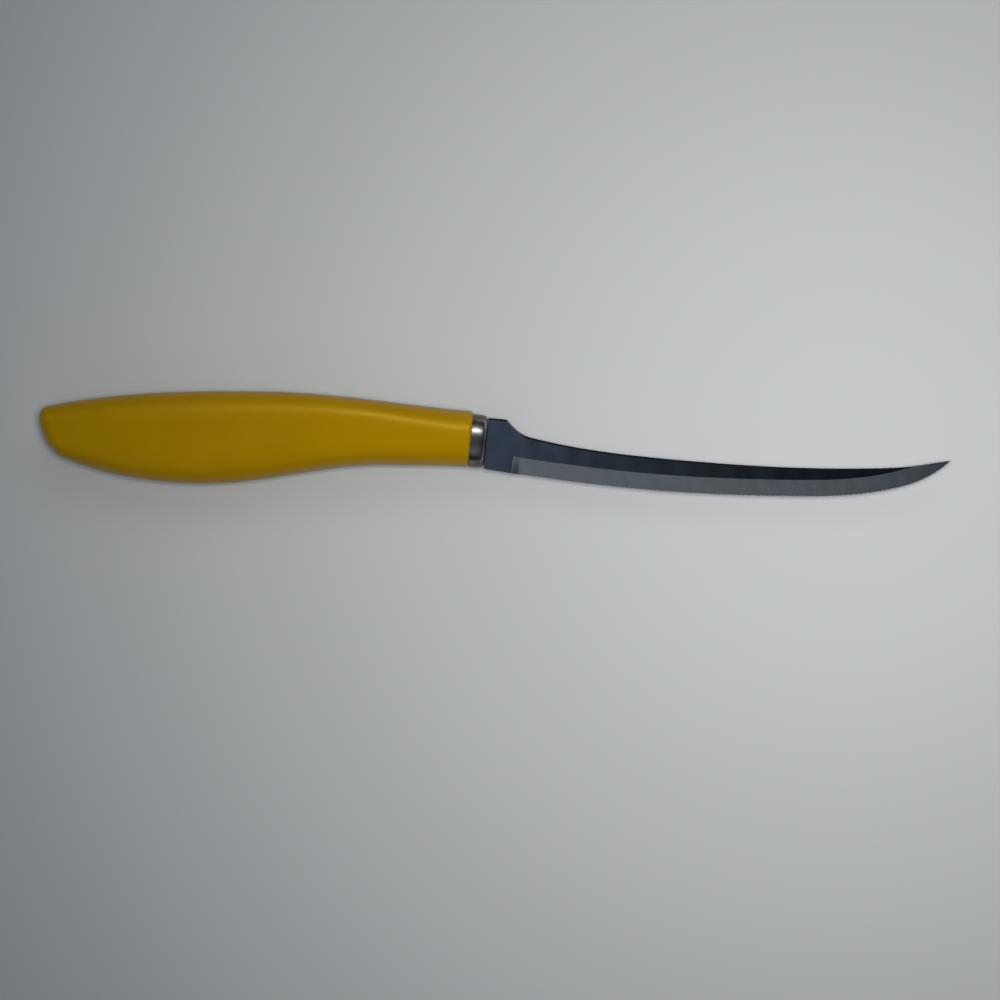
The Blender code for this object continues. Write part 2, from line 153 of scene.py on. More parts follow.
def add(
    tree: bpy.types.NodeTree, kind: str, inputs: Mapping | None = None, **settings: object
) -> bpy.types.Node:
    """Add a node to a tree, with its settings, its values and its links.

    Args:
        tree: The tree that takes the node.
        kind: The node's type, as Blender names it.
        inputs: For each input's name or number, a value, or an output to link it to.
        settings: Properties of the node itself.

    Returns:
        The new node.
    """
    node = tree.nodes.new(kind)
    for name, value in settings.items():
        setattr(node, name, value)
    for key, value in (inputs or {}).items():
        if isinstance(value, bpy.types.NodeSocket):
            tree.links.new(value, node.inputs[key])
        else:
            node.inputs[key].default_value = value
    return node


def new_material(name: str) -> tuple[bpy.types.Material, bpy.types.NodeTree, bpy.types.Node]:
    """Start a material.

    Args:
        name: What the material really is.

    Returns:
        The material, its tree and its Principled BSDF.
    """
    material = bpy.data.materials.new(name)
    material.use_nodes = True
    tree = material.node_tree
    return material, tree, tree.nodes["Principled BSDF"]


@dataclass(frozen=True)
class MouldedPolypropylene:
    """Polypropylene, injection moulded in a spark-eroded cavity.

    The cavity leaves fine even pebbles, so the plastic has a soft satin sheen and not a gloss. The
    plastic shrinks a little unevenly as it cools, and those ripples break the sheen up. The
    pigment is spread almost evenly, with faint flow marks.
    """

    name: str = "moulded_polypropylene"
    pigment: str = "#B08702"
    flow_mark: str = "#A67D00"
    # Pebbles are 0.1 to 0.2 mm apart on the real cavity, drawn at twice that so that they show
    pebble: float = 0.00036
    pebble_depth: float = 0.000014
    ripple: float = 0.0030
    ripple_depth: float = 0.00009
    flow_length: float = 0.009
    roughness: float = 0.36
    roughness_spread: float = 0.04
    refraction: float = 1.49
    # The pigment lies right up to the skin, so that the sheen is a little yellow too
    sheen_tint: str = "#FFDC60"

    def material(self) -> bpy.types.Material:
        """Make the material."""
        material, tree, shader = new_material(self.name)
        place = add(tree, "ShaderNodeTexCoord").outputs["Object"]
        flow, ripples, pebbles = (
            add(
                tree,
                "ShaderNodeTexNoise",
                {"Vector": place, "Scale": 1.0 / size, "Detail": detail, "Roughness": harshness},
            ).outputs["Fac"]
            for size, detail, harshness in (
                (self.flow_length, 3.0, 0.5),
                (self.ripple, 1.0, 0.5),
                (self.pebble, 2.0, 0.6),
            )
        )
        ramp = add(tree, "ShaderNodeValToRGB", {"Fac": flow})
        for stop, colour in zip(ramp.color_ramp.elements, (self.pigment, self.flow_mark)):
            stop.color = linear(colour)
        relief = {"Strength": 1.0}
        for height, depth in ((ripples, self.ripple_depth), (pebbles, self.pebble_depth)):
            bump = add(tree, "ShaderNodeBump", {**relief, "Distance": depth, "Height": height})
            relief["Normal"] = bump.outputs["Normal"]
        sheen = add(
            tree,
            "ShaderNodeMapRange",
            {
                "Value": flow,
                "To Min": self.roughness - self.roughness_spread,
                "To Max": self.roughness + self.roughness_spread,
            },
        )
        tree.links.new(ramp.outputs["Color"], shader.inputs["Base Color"])
        tree.links.new(sheen.outputs["Result"], shader.inputs["Roughness"])
        tree.links.new(bump.outputs["Normal"], shader.inputs["Normal"])
        shader.inputs["IOR"].default_value = self.refraction
        shader.inputs["Specular Tint"].default_value = linear(self.sheen_tint)
        return material


@dataclass(frozen=True)
class Steel:
    """Stainless steel with fine lines from the way its surface was finished.

    It mirrors what is round it, darker than it is, and its lines spread the reflection sideways.
    Slow waves left by the tool make that reflection swell and fade along the piece. A darker second
    colour is laid on in patches, and more of it is painted near the piece's middle plane and
    towards its front end, within the limits below. That is painted shade: on the collar it darkens
    and browns the reflections of its narrow sides and its front.
    """

    name: str
    tint: str
    stain_and_shade: str
    lay: Lay
    roughness: float
    roughness_spread: float
    line_spacing: float
    line_length: float
    line_depth: float
    wave_length: float
    wave_depth: float
    patch: float = 0.006
    stain_and_shade_rise: float = 0.0001
    stain_and_shade_from: float = 1.0
    # Shares of those two limits where the painted shade starts to fade or gather, and what each
    # adds
    low_start: float = 0.65
    low_gain: float = 0.5
    late_start: float = 0.9
    late_gain: float = 0.3
    # The patches' levels at which only the tint and only the darker colour of stain and painted
    # shade can be seen
    stain_and_shade_levels: tuple[float, float] = (0.4, 0.9)
    # The product of lines and patches at which the finish is roughest
    roughest: float = 0.5

    def material(self) -> bpy.types.Material:
        """Make the material."""
        material, tree, shader = new_material(self.name)
        lengthwise, crosswise, through = (
            add(tree, "ShaderNodeAttribute", attribute_name=name).outputs["Fac"]
            for name in (LENGTHWISE, CROSSWISE, THROUGH)
        )
        place = add(tree, "ShaderNodeCombineXYZ", {"X": lengthwise, "Y": crosswise}).outputs[0]
        fine, long = 1.0 / self.line_spacing, 1.0 / self.line_length
        scale = (long, fine, 1.0) if self.lay is Lay.ALONG else (fine, long, 1.0)
        stretched = add(tree, "ShaderNodeMapping", {"Vector": place, "Scale": scale}).outputs[0]
        lines, waves, patches = (
            add(
                tree,
                "ShaderNodeTexNoise",
                {"Vector": where, "Scale": 1.0 / size, "Detail": detail, "Roughness": harshness},
            ).outputs["Fac"]
            for where, size, detail, harshness in (
                (stretched, 1.0, 3.0, 0.6),
                (place, self.wave_length, 0.0, 0.5),
                (place, self.patch, 1.0, 0.5),
            )
        )
        mixed = add(tree, "ShaderNodeMath", {0: lines, 1: patches}, operation="MULTIPLY").outputs[0]
        rough = add(
            tree,
            "ShaderNodeMapRange",
            {
                "Value": mixed,
                "From Max": self.roughest,
                "To Min": self.roughness - self.roughness_spread,
                "To Max": self.roughness + self.roughness_spread,
            },
        )
        # Painted shade: more of the darker colour goes near the middle plane and towards the front
        # end, which on the collar darkens the reflections of its narrow sides and its front
        rise = add(tree, "ShaderNodeMath", {0: through}, operation="ABSOLUTE").outputs[0]
        low, late = (
            add(
                tree,
                "ShaderNodeMapRange",
                {
                    "Value": value,
                    "From Min": start * limit,
                    "From Max": limit,
                    "To Min": before,
                    "To Max": after,
                },
                interpolation_type="SMOOTHSTEP",
            ).outputs["Result"]
            for value, limit, start, before, after in (
                (rise, self.stain_and_shade_rise, self.low_start, self.low_gain, 0.0),
                (lengthwise, self.stain_and_shade_from, self.late_start, 0.0, self.late_gain),
            )
        )
        kept = add(tree, "ShaderNodeMath", {0: low, 1: late}, operation="MAXIMUM").outputs[0]
        left = add(tree, "ShaderNodeMath", {0: patches, 1: kept}, operation="ADD").outputs[0]
        stain_and_shade_ramp = add(tree, "ShaderNodeValToRGB", {"Fac": left})
        stops = zip(stain_and_shade_ramp.color_ramp.elements, self.stain_and_shade_levels, (self.tint, self.stain_and_shade))
        for stop, level, colour in stops:
            stop.position = level
            stop.color = linear(colour)
        relief = {"Strength": 1.0}
        for height, depth in ((waves, self.wave_depth), (lines, self.line_depth)):
            bump = add(tree, "ShaderNodeBump", {**relief, "Distance": depth, "Height": height})
            relief["Normal"] = bump.outputs["Normal"]
        tree.links.new(stain_and_shade_ramp.outputs["Color"], shader.inputs["Base Color"])
        tree.links.new(rough.outputs["Result"], shader.inputs["Roughness"])
        tree.links.new(bump.outputs["Normal"], shader.inputs["Normal"])
        shader.inputs["Metallic"].default_value = 1.0
        return material


# Cold rolled strip, polished on both faces: a dark clear mirror with a faint grain along the strip
POLISHED_STRIP = Steel(
    name="polished_strip_steel",
    tint="#BDC1C6",
    stain_and_shade="#B6BABF",
    lay=Lay.ALONG,
    roughness=0.15,
    roughness_spread=0.03,
    line_spacing=0.00030,
    line_length=0.012,
    line_depth=0.0000010,
    wave_length=0.005,
    wave_depth=0.00006,
)

# Wheel-ground bevel: lines square to the edge spread the light, so it looks paler than the flat.
# Real lines are about 0.05 mm apart, drawn coarser so that they show.
GROUND_BEVEL = Steel(
    name="wheel_ground_steel",
    tint="#C3C6CA",
    stain_and_shade="#BBBEC2",
    lay=Lay.ACROSS,
    roughness=0.36,
    roughness_spread=0.06,
    line_spacing=0.00022,
    line_length=0.004,
    line_depth=0.0000035,
    wave_length=0.0030,
    wave_depth=0.00007,
)

# Drawn cup, polished once and dulled by use, so its highlights are soft. A brown colour is painted
# on its narrow sides and at its front, against the blade: painted shade that darkens its
# reflections there
WORN_CUP = Steel(
    name="worn_cup_steel",
    tint="#9C9995",
    stain_and_shade="#625B52",
    lay=Lay.ACROSS,
    roughness=0.31,
    roughness_spread=0.05,
    line_spacing=0.00025,
    line_length=0.004,
    line_depth=0.0000015,
    wave_length=0.004,
    wave_depth=0.000006,
    patch=0.003,
    # The painted shade lies on the collar's narrow sides, near its middle plane, and at its front
    stain_and_shade_rise=0.0042,
    stain_and_shade_from=0.0040,
)


@dataclass(frozen=True)
class PaleBoard:
    """Matt board, sprayed in one pale grey: no grain and no gloss."""

    name: str = "matt_grey_board"
    paint: str = "#C8C9C9"
    roughness: float = 0.9
    gloss: float = 0.1

    def material(self) -> bpy.types.Material:
        """Make the material."""
        material, _, shader = new_material(self.name)
        shader.inputs["Base Color"].default_value = linear(self.paint)
        shader.inputs["Roughness"].default_value = self.roughness
        shader.inputs["Specular IOR Level"].default_value = self.gloss
        return material


@dataclass(frozen=True)
class Stance:
    """Where the knife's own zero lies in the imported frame, and how far the blade droops."""

    zero: Vector
    droop: float = math.radians(4.1)

    def on_blade(self, along: float, across: float) -> Vector:
        """Turn a place along the drooping blade into the knife's own directions."""
        return Matrix.Rotation(-self.droop, 2) @ Vector((along, across))


def quarter_turn(steps: int) -> list[tuple[float, float]]:
    """List the sine and cosine of even steps from 0 to a right angle."""
    turns = [0.5 * math.pi * step / steps for step in range(steps + 1)]
    return [(math.sin(turn), max(math.cos(turn), 0.0)) for turn in turns]


def oval_ring(
    half_depth: float, half_thickness: float, flat: float, squareness: float, steps: int
) -> list[tuple[float, float]]:
    """Draw a closed oval with a flat on each flank.

    Args:
        half_depth: Half the size across.
        half_thickness: Half the size through.
        flat: Share of the depth that is flat on each flank.
        squareness: 2 for an ellipse's shoulders, more for squarer ones.
        steps: Steps in each quarter.

    Returns:
        Points as pairs of across and through.
    """
    half_flat = half_depth * flat
    quarter = []
    for sine, cosine in quarter_turn(steps):
        across = cosine ** (2.0 / squareness)
        through = sine ** (2.0 / squareness)
        quarter.append((half_flat + (half_depth - half_flat) * across, half_thickness * through))
    upper = quarter + [(-y, z) for y, z in reversed(quarter)]
    return upper + [(y, -z) for y, z in reversed(upper[1:-1])]


def section(
    centre: Vector, direction: Vector, ring: Sequence[tuple[float, float]], lengthwise: float = 0.0
) -> list[Spot]:
    """Stand a ring up.

    Args:
        centre: Its middle, from the knife's zero, in the XY plane.
        direction: The way of its depth in the XY plane.
        ring: Pairs of across and through.
        lengthwise: Its place along the piece.

    Returns:
        Its points, with their places round the ring.
    """
    spots = []
    girth = 0.0
    for number, (across, through) in enumerate(ring):
        girth += math.dist(ring[number - 1], (across, through)) if number else 0.0
        point = Vector((*(centre + direction * across), through))
        spots.append(Spot(point, lengthwise, girth, through))
    return spots


def loft(
    name: str, rings: Sequence[Sequence[Spot]], zero: Vector, creases: Sequence[int] = ()
) -> bpy.types.Mesh:
    """Join rings of equal length into one closed mesh with a cap at each end.

    Args:
        name: The mesh's name.
        rings: The rings, from one end to the other.
        zero: The knife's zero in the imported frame.
        creases: Places on the ring where a crisp edge runs along the mesh.

    Returns:
        The mesh, with the rings' values as attributes.
    """
    bm = bmesh.new()
    layers = {
        key: bm.verts.layers.float.new(key) for key in (LENGTHWISE, CROSSWISE, THROUGH, ROOM)
    }
    across = bm.verts.layers.float_vector.new(ACROSS)
    ground = bm.faces.layers.float.new(GROUND)
    rows = []
    for ring in rings:
        row = []
        for spot in ring:
            vert = bm.verts.new(zero + spot.point)
            for key, layer in layers.items():
                vert[layer] = getattr(spot, key)
            vert[across] = spot.across
            row.append(vert)
        rows.append(row)
    count = len(rows[0])
    for number, (near, far) in enumerate(zip(rows, rows[1:])):
        for place in range(count):
            other = (place + 1) % count
            face = bm.faces.new((near[place], near[other], far[other], far[place]))
            spots = rings[number][place], rings[number][other]
            face[ground] = float(all(spot.ground for spot in spots))
        for place in creases:
            bm.edges.get((near[place], far[place])).smooth = False
    bm.faces.new(rows[0])
    bm.faces.new(rows[-1])
    bmesh.ops.remove_doubles(bm, verts=bm.verts, dist=WELD_DISTANCE)
    bmesh.ops.recalc_face_normals(bm, faces=bm.faces)
    for edge in bm.edges:
        if edge.calc_face_angle(0.0) > SHARP_ANGLE:
            edge.smooth = False
    for face in bm.faces:
        face.smooth = True
    mesh = bpy.data.meshes.new(name)
    bm.to_mesh(mesh)
    bm.free()
    return mesh


def put_in_scene(name: str, data: bpy.types.ID) -> bpy.types.Object:
    """Make an object of a mesh, a curve, a lamp or a camera, and put it in the scene."""
    made = bpy.data.objects.new(name, data)
    bpy.context.scene.collection.objects.link(made)
    return made


def evaluated_mesh(piece: bpy.types.Object) -> bpy.types.Mesh:
    """Read a piece's mesh with its modifiers applied."""
    bpy.context.view_layer.update()
    return bpy.data.meshes.new_from_object(
        piece.evaluated_get(bpy.context.evaluated_depsgraph_get())
    )


def plate(
    name: str,
    outline: Sequence[tuple[float, float]],
    holes: Sequence[Sequence[tuple[float, float]]],
    thickness: float,
    zero: Vector,
) -> bpy.types.Object:
    """Make a flat plate with holes from a filled outline.

    Args:
        name: The object's name.
        outline: Its rim, from the knife's zero.
        holes: The rims of its holes.
        thickness: Its thickness, half above and half below the knife's zero.
        zero: The knife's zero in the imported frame.

    Returns:
        An object that isn't part of the knife until a Boolean uses it.
    """
    curve = bpy.data.curves.new(name, "CURVE")
    curve.dimensions = "2D"
    curve.fill_mode = "BOTH"
    curve.extrude = 0.5 * thickness
    for points in [outline, *holes]:
        spline = curve.splines.new("POLY")
        spline.points.add(len(points) - 1)
        for knot, (x, y) in zip(spline.points, points):
            knot.co = (x, y, 0.0, 1.0)
        spline.use_cyclic_u = True
    drawn = put_in_scene(name, curve)
    mesh = evaluated_mesh(drawn)
    bpy.data.objects.remove(drawn, do_unlink=True)
    mesh.transform(Matrix.Translation(zero))
    bm = bmesh.new()
    bm.from_mesh(mesh)
    bmesh.ops.remove_doubles(bm, verts=bm.verts, dist=WELD_DISTANCE)
    bmesh.ops.recalc_face_normals(bm, faces=bm.faces)
    bm.to_mesh(mesh)
    bm.free()
    return put_in_scene(name, mesh)


def apply_modifiers(piece: bpy.types.Object) -> None:
    """Turn a piece's modifiers into its plain mesh."""
    mesh = evaluated_mesh(piece)
    piece.modifiers.clear()
    piece.data = mesh


def combine(piece: bpy.types.Object, other: bpy.types.Object, operation: str) -> None:
    """Join a shape to a piece, or cut it out of the piece, and remove the shape.

    Args:
        piece: The piece that changes.
        other: The shape.
        operation: UNION or DIFFERENCE.
    """
    modifier = piece.modifiers.new(other.name, "BOOLEAN")
    modifier.operation = operation
    modifier.solver = "EXACT"
    modifier.object = other
    apply_modifiers(piece)
    bpy.data.objects.remove(other, do_unlink=True)


def show(
    name: str, mesh: bpy.types.Mesh, materials: Sequence[bpy.types.Material]
) -> bpy.types.Object:
    """Put a mesh in the scene with its materials."""
    for material in materials:
        mesh.materials.append(material)
    return put_in_scene(name, mesh)


def hand_over(piece: bpy.types.Object, node: str) -> None:
    """Let a finished piece stand for its solid, and report it.

    Args:
        piece: The finished piece.
        node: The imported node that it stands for.
    """
    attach(piece, "root")
    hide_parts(node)
    LOG.info("%s: %d faces for %s", piece.name, len(piece.data.polygons), node)


@dataclass(frozen=True)
class Tang:
    """The flat tongue of the blade inside the handle, with holes that the plastic fills."""

    length: float = 0.058
    depth: float = 0.0070
    thickness: float = 0.0012
    hole_radius: float = 0.0019
    first_hole: float = 0.017
    hole_spacing: float = 0.021
    holes: int = 2
    end_steps: int = 24
    hole_sides: int = 40

    def outline(self, stance: Stance, grow: float, front: float) -> list[tuple[float, float]]:
        """Draw its rim, larger by grow all round, up to front along the blade."""
        half = 0.5 * self.depth + grow
        rear = -self.length - grow
        rim = [stance.on_blade(*corner) for corner in ((front, -half), (front, half), (0.0, half))]
        for step in range(self.end_steps + 1):
            turn = math.pi * (0.5 + step / self.end_steps)
            rim.append(Vector((rear + half + half * math.cos(turn), half * math.sin(turn))))
        rim.append(stance.on_blade(0.0, -half))
        return [tuple(point) for point in rim]

    def hole_rims(self, radius: float) -> list[list[tuple[float, float]]]:
        """Draw the rims of its holes at some radius."""
        turns = [2.0 * math.pi * side / self.hole_sides for side in range(self.hole_sides)]
        middles = [-self.first_hole - number * self.hole_spacing for number in range(self.holes)]
        return [
            [(middle + radius * math.cos(turn), radius * math.sin(turn)) for turn in turns]
            for middle in middles
        ]


@dataclass(frozen=True)
class Collar:
    """Oval steel cup over the handle's spigot, slimmer on each side at its front.

    The swell is how far its side stands out half way along, as drawing and polishing leave it.
    """

    stance: Stance
    length: float = 0.0037
    depth: float = 0.0130
    thickness: float = 0.0116
    wall: float = 0.0006
    taper: float = 0.0003
    swell: float = 0.00016
    edge_radius: float = 0.0010
    flat: float = 0.10
    squareness: float = 2.0
    ring_steps: int = 32
    straight_steps: int = 10
    edge_steps: int = 12

    def ring(self, along: float, inset: float) -> list[tuple[float, float]]:
        """Draw its oval at a distance from the rear face, smaller by inset all round."""
        smaller = inset + self.taper * along / self.length
        half_depth = 0.5 * self.depth - smaller
        half_thickness = 0.5 * self.thickness - smaller
        return oval_ring(half_depth, half_thickness, self.flat, self.squareness, self.ring_steps)

    def profile(self) -> list[tuple[float, float]]:
        """List its wall as pairs of along and inset, from the inside round to the front."""
        straight = self.length - self.edge_radius
        side = [(straight * step / self.straight_steps, 0.0) for step in range(self.straight_steps)]
        for sine, cosine in quarter_turn(self.edge_steps):
            along = self.length - self.edge_radius * (1.0 - sine)
            side.append((along, self.edge_radius * (1.0 - cosine)))
        pairs = [(self.length - self.wall, self.wall), (0.0, self.wall)]
        for along, inset in side:
            share = along / self.length
            pairs.append((along, inset - 4.0 * self.swell * share * (1.0 - share)))
        return pairs

    def build(self, tang: Tang, finish: Steel) -> bpy.types.Object:
        """Build the cup with its slot for the tang.

        Args:
            tang: What goes through the slot.
            finish: How the steel looks.

        Returns:
            The finished piece.
        """
        up = self.stance.on_blade(0.0, 1.0)
        rings = [
            section(self.stance.on_blade(along, 0.0), up, self.ring(along, inset), along + inset)
            for along, inset in self.profile()
        ]
        mesh = loft("polished_collar", rings, self.stance.zero)
        piece = show("polished_collar", mesh, [finish.material()])
        half = 0.5 * tang.depth + HAIRLINE
        corners = [(0.0, -half), (2.0 * self.length, -half), (2.0 * self.length, half), (0.0, half)]
        rim = [tuple(self.stance.on_blade(*corner)) for corner in corners]
        slot = plate("slot", rim, [], tang.thickness + 2.0 * HAIRLINE, self.stance.zero)
        combine(piece, slot, "DIFFERENCE")
        hand_over(piece, "collar")
        return piece


@dataclass(frozen=True)
class Handle:
    """One moulding: butt, grip and nose, with the spigot, the tang's pocket and its pillars.

    Heights are from the knife's zero, and shares are of the length, from the nose.
    """

    stance: Stance
    length: float = 0.1049
    thickness: float = 0.0140
    crown: Knot = Knot(0.46, 0.01085)
    belly: Knot = Knot(0.633, -0.0120)
    hollow: Knot = Knot(0.195, -0.0064)
    butt_top: float = 0.00675
    butt_top_slope: float = 0.20
    butt_bottom: float = 0.0059
    butt_bottom_slope: float = 0.40
    butt_thickness: float = 0.0118
    butt_bulge: float = 0.0039
    butt_slant: float = 0.0056
    butt_ease: float = 0.0140
    nose_top: float = 0.0072
    nose_top_slope: float = 0.06
    nose_bottom: float = 0.0064
    nose_bottom_slope: float = 0.03
    nose_thickness: float = 0.0124
    nose_ease: float = 0.0300
    nose_edge_radius: float = 0.0008
    flank_flat: float = 0.25
    nose_flat: float = 0.10
    body_squareness: float = 2.5
    nose_squareness: float = 2.0
    stations: int = 150
    ring_steps: int = 24
    butt_steps: int = 28
    edge_steps: int = 8

    def top(self, x: float) -> float:
        """Height of the top line."""
        return height_on(
            [
                Knot(-self.length + self.butt_bulge, self.butt_top, self.butt_top_slope),
                Knot(-self.length * self.crown.place, self.crown.height),
                Knot(0.0, self.nose_top, -self.nose_top_slope),
            ],
            x,
        )

    def bottom(self, x: float) -> float:
        """Height of the lower line, below zero."""
        return height_on(
            [
                Knot(-self.length + self.butt_bulge, -self.butt_bottom, -self.butt_bottom_slope),
                Knot(-self.length * self.belly.place, self.belly.height),
                Knot(-self.length * self.hollow.place, self.hollow.height),
                Knot(0.0, -self.nose_bottom, -self.nose_bottom_slope),
            ],
            x,
        )

    def half_thickness(self, x: float) -> float:
        """Half its thickness: level along the flank, less at the nose and the butt."""
        to_nose = eased(1.0 + x / self.nose_ease)
        to_butt = eased(1.0 - (x + self.length - self.butt_bulge) / self.butt_ease)
        at_nose = (self.thickness - self.nose_thickness) * to_nose
        at_butt = (self.thickness - self.butt_thickness) * to_butt
        return 0.5 * (self.thickness - at_nose - at_butt)

    def station(self, share: float) -> tuple[Vector, Vector, float, float, float]:
        """Describe one section.

        Args:
            share: 0 at the butt and 1 at the nose.

        Returns:
            Its centre, its depth's direction, half its depth, its flat and its squareness.
        """
        butt_x = -self.length + self.butt_bulge
        last = -HAIRLINE - self.nose_edge_radius
        nose_top_x = self.stance.on_blade(last, self.nose_top).x
        nose_bottom_x = self.stance.on_blade(last, -self.nose_bottom).x
        top_x = blend(butt_x - 0.5 * self.butt_slant, nose_top_x, share)
        bottom_x = blend(butt_x + 0.5 * self.butt_slant, nose_bottom_x, share)
        top = Vector((top_x, self.top(top_x)))
        bottom = Vector((bottom_x, self.bottom(bottom_x)))
        centre = 0.5 * (top + bottom)
        to_nose = eased(1.0 + centre.x / self.nose_ease)
        flat = blend(self.flank_flat, self.nose_flat, to_nose)
        squareness = blend(self.body_squareness, self.nose_squareness, to_nose)
        half_depth = 0.5 * (top - bottom).length
        return centre, (top - bottom).normalized(), half_depth, flat, squareness

    def butt_rings(self) -> list[list[Spot]]:
        """Draw the domed end, from its pole to the first station."""
        centre, direction, depth, flat, squareness = self.station(0.0)
        half = self.half_thickness(centre.x)
        taper = 0.5 * (self.butt_top_slope + self.butt_bottom_slope) * self.butt_bulge
        rings = []
        for bulge, cosine in reversed(quarter_turn(self.butt_steps)[1:]):
            shrink = max(cosine, WELD_DISTANCE)
            ring_depth = depth * shrink - taper * bulge * (1.0 - bulge)
            ring = oval_ring(ring_depth, half * shrink, flat, squareness, self.ring_steps)
            middle = centre + Vector((-self.butt_bulge * bulge, 0.0))
            rings.append(section(middle, direction, ring))
        return rings

    def grip_rings(self) -> list[list[Spot]]:
        """Draw the grip up to the rounded edge of the nose."""
        rings = []
        for number in range(self.stations + 1):
            centre, direction, depth, flat, squareness = self.station(number / self.stations)
            half = self.half_thickness(centre.x)
            ring = oval_ring(depth, half, flat, squareness, self.ring_steps)
            rings.append(section(centre, direction, ring))
        forward = self.stance.on_blade(1.0, 0.0)
        for sine, cosine in quarter_turn(self.edge_steps)[1:]:
            inset = self.nose_edge_radius * (1.0 - cosine)
            out = forward * self.nose_edge_radius * sine
            ring = oval_ring(depth - inset, half - inset, flat, squareness, self.ring_steps)
            rings.append(section(centre + out, direction, ring))
        return rings

    def spigot_rings(self, collar: Collar) -> list[list[Spot]]:
        """Draw the spigot that fills the collar."""
        up = self.stance.on_blade(0.0, 1.0)
        rings = []
        for along in (-HAIRLINE, collar.length - collar.wall - HAIRLINE):
            ring = oval_ring(
                0.5 * collar.depth - collar.wall - collar.taper - HAIRLINE,
                0.5 * collar.thickness - collar.wall - collar.taper - HAIRLINE,
                collar.flat,
                collar.squareness,
                self.ring_steps,
            )
            rings.append(section(self.stance.on_blade(along, 0.0), up, ring))
        return rings

    def build(self, tang: Tang, collar: Collar, finish: MouldedPolypropylene) -> bpy.types.Object:
        """Build the moulding.

        Args:
            tang: What the pocket holds.
            collar: What the spigot fills.
            finish: How the plastic looks.

        Returns:
            The finished piece.
        """
        rings = self.butt_rings() + self.grip_rings() + self.spigot_rings(collar)
        mesh = loft("moulded_handle", rings, self.stance.zero)
        piece = show("moulded_handle", mesh, [finish.material()])
        pocket = plate(
            "pocket",
            tang.outline(self.stance, HAIRLINE, collar.length),
            tang.hole_rims(tang.hole_radius - HAIRLINE),
            tang.thickness + 2.0 * HAIRLINE,
            self.stance.zero,
        )
        combine(piece, pocket, "DIFFERENCE")
        hand_over(piece, "handle")
        return piece


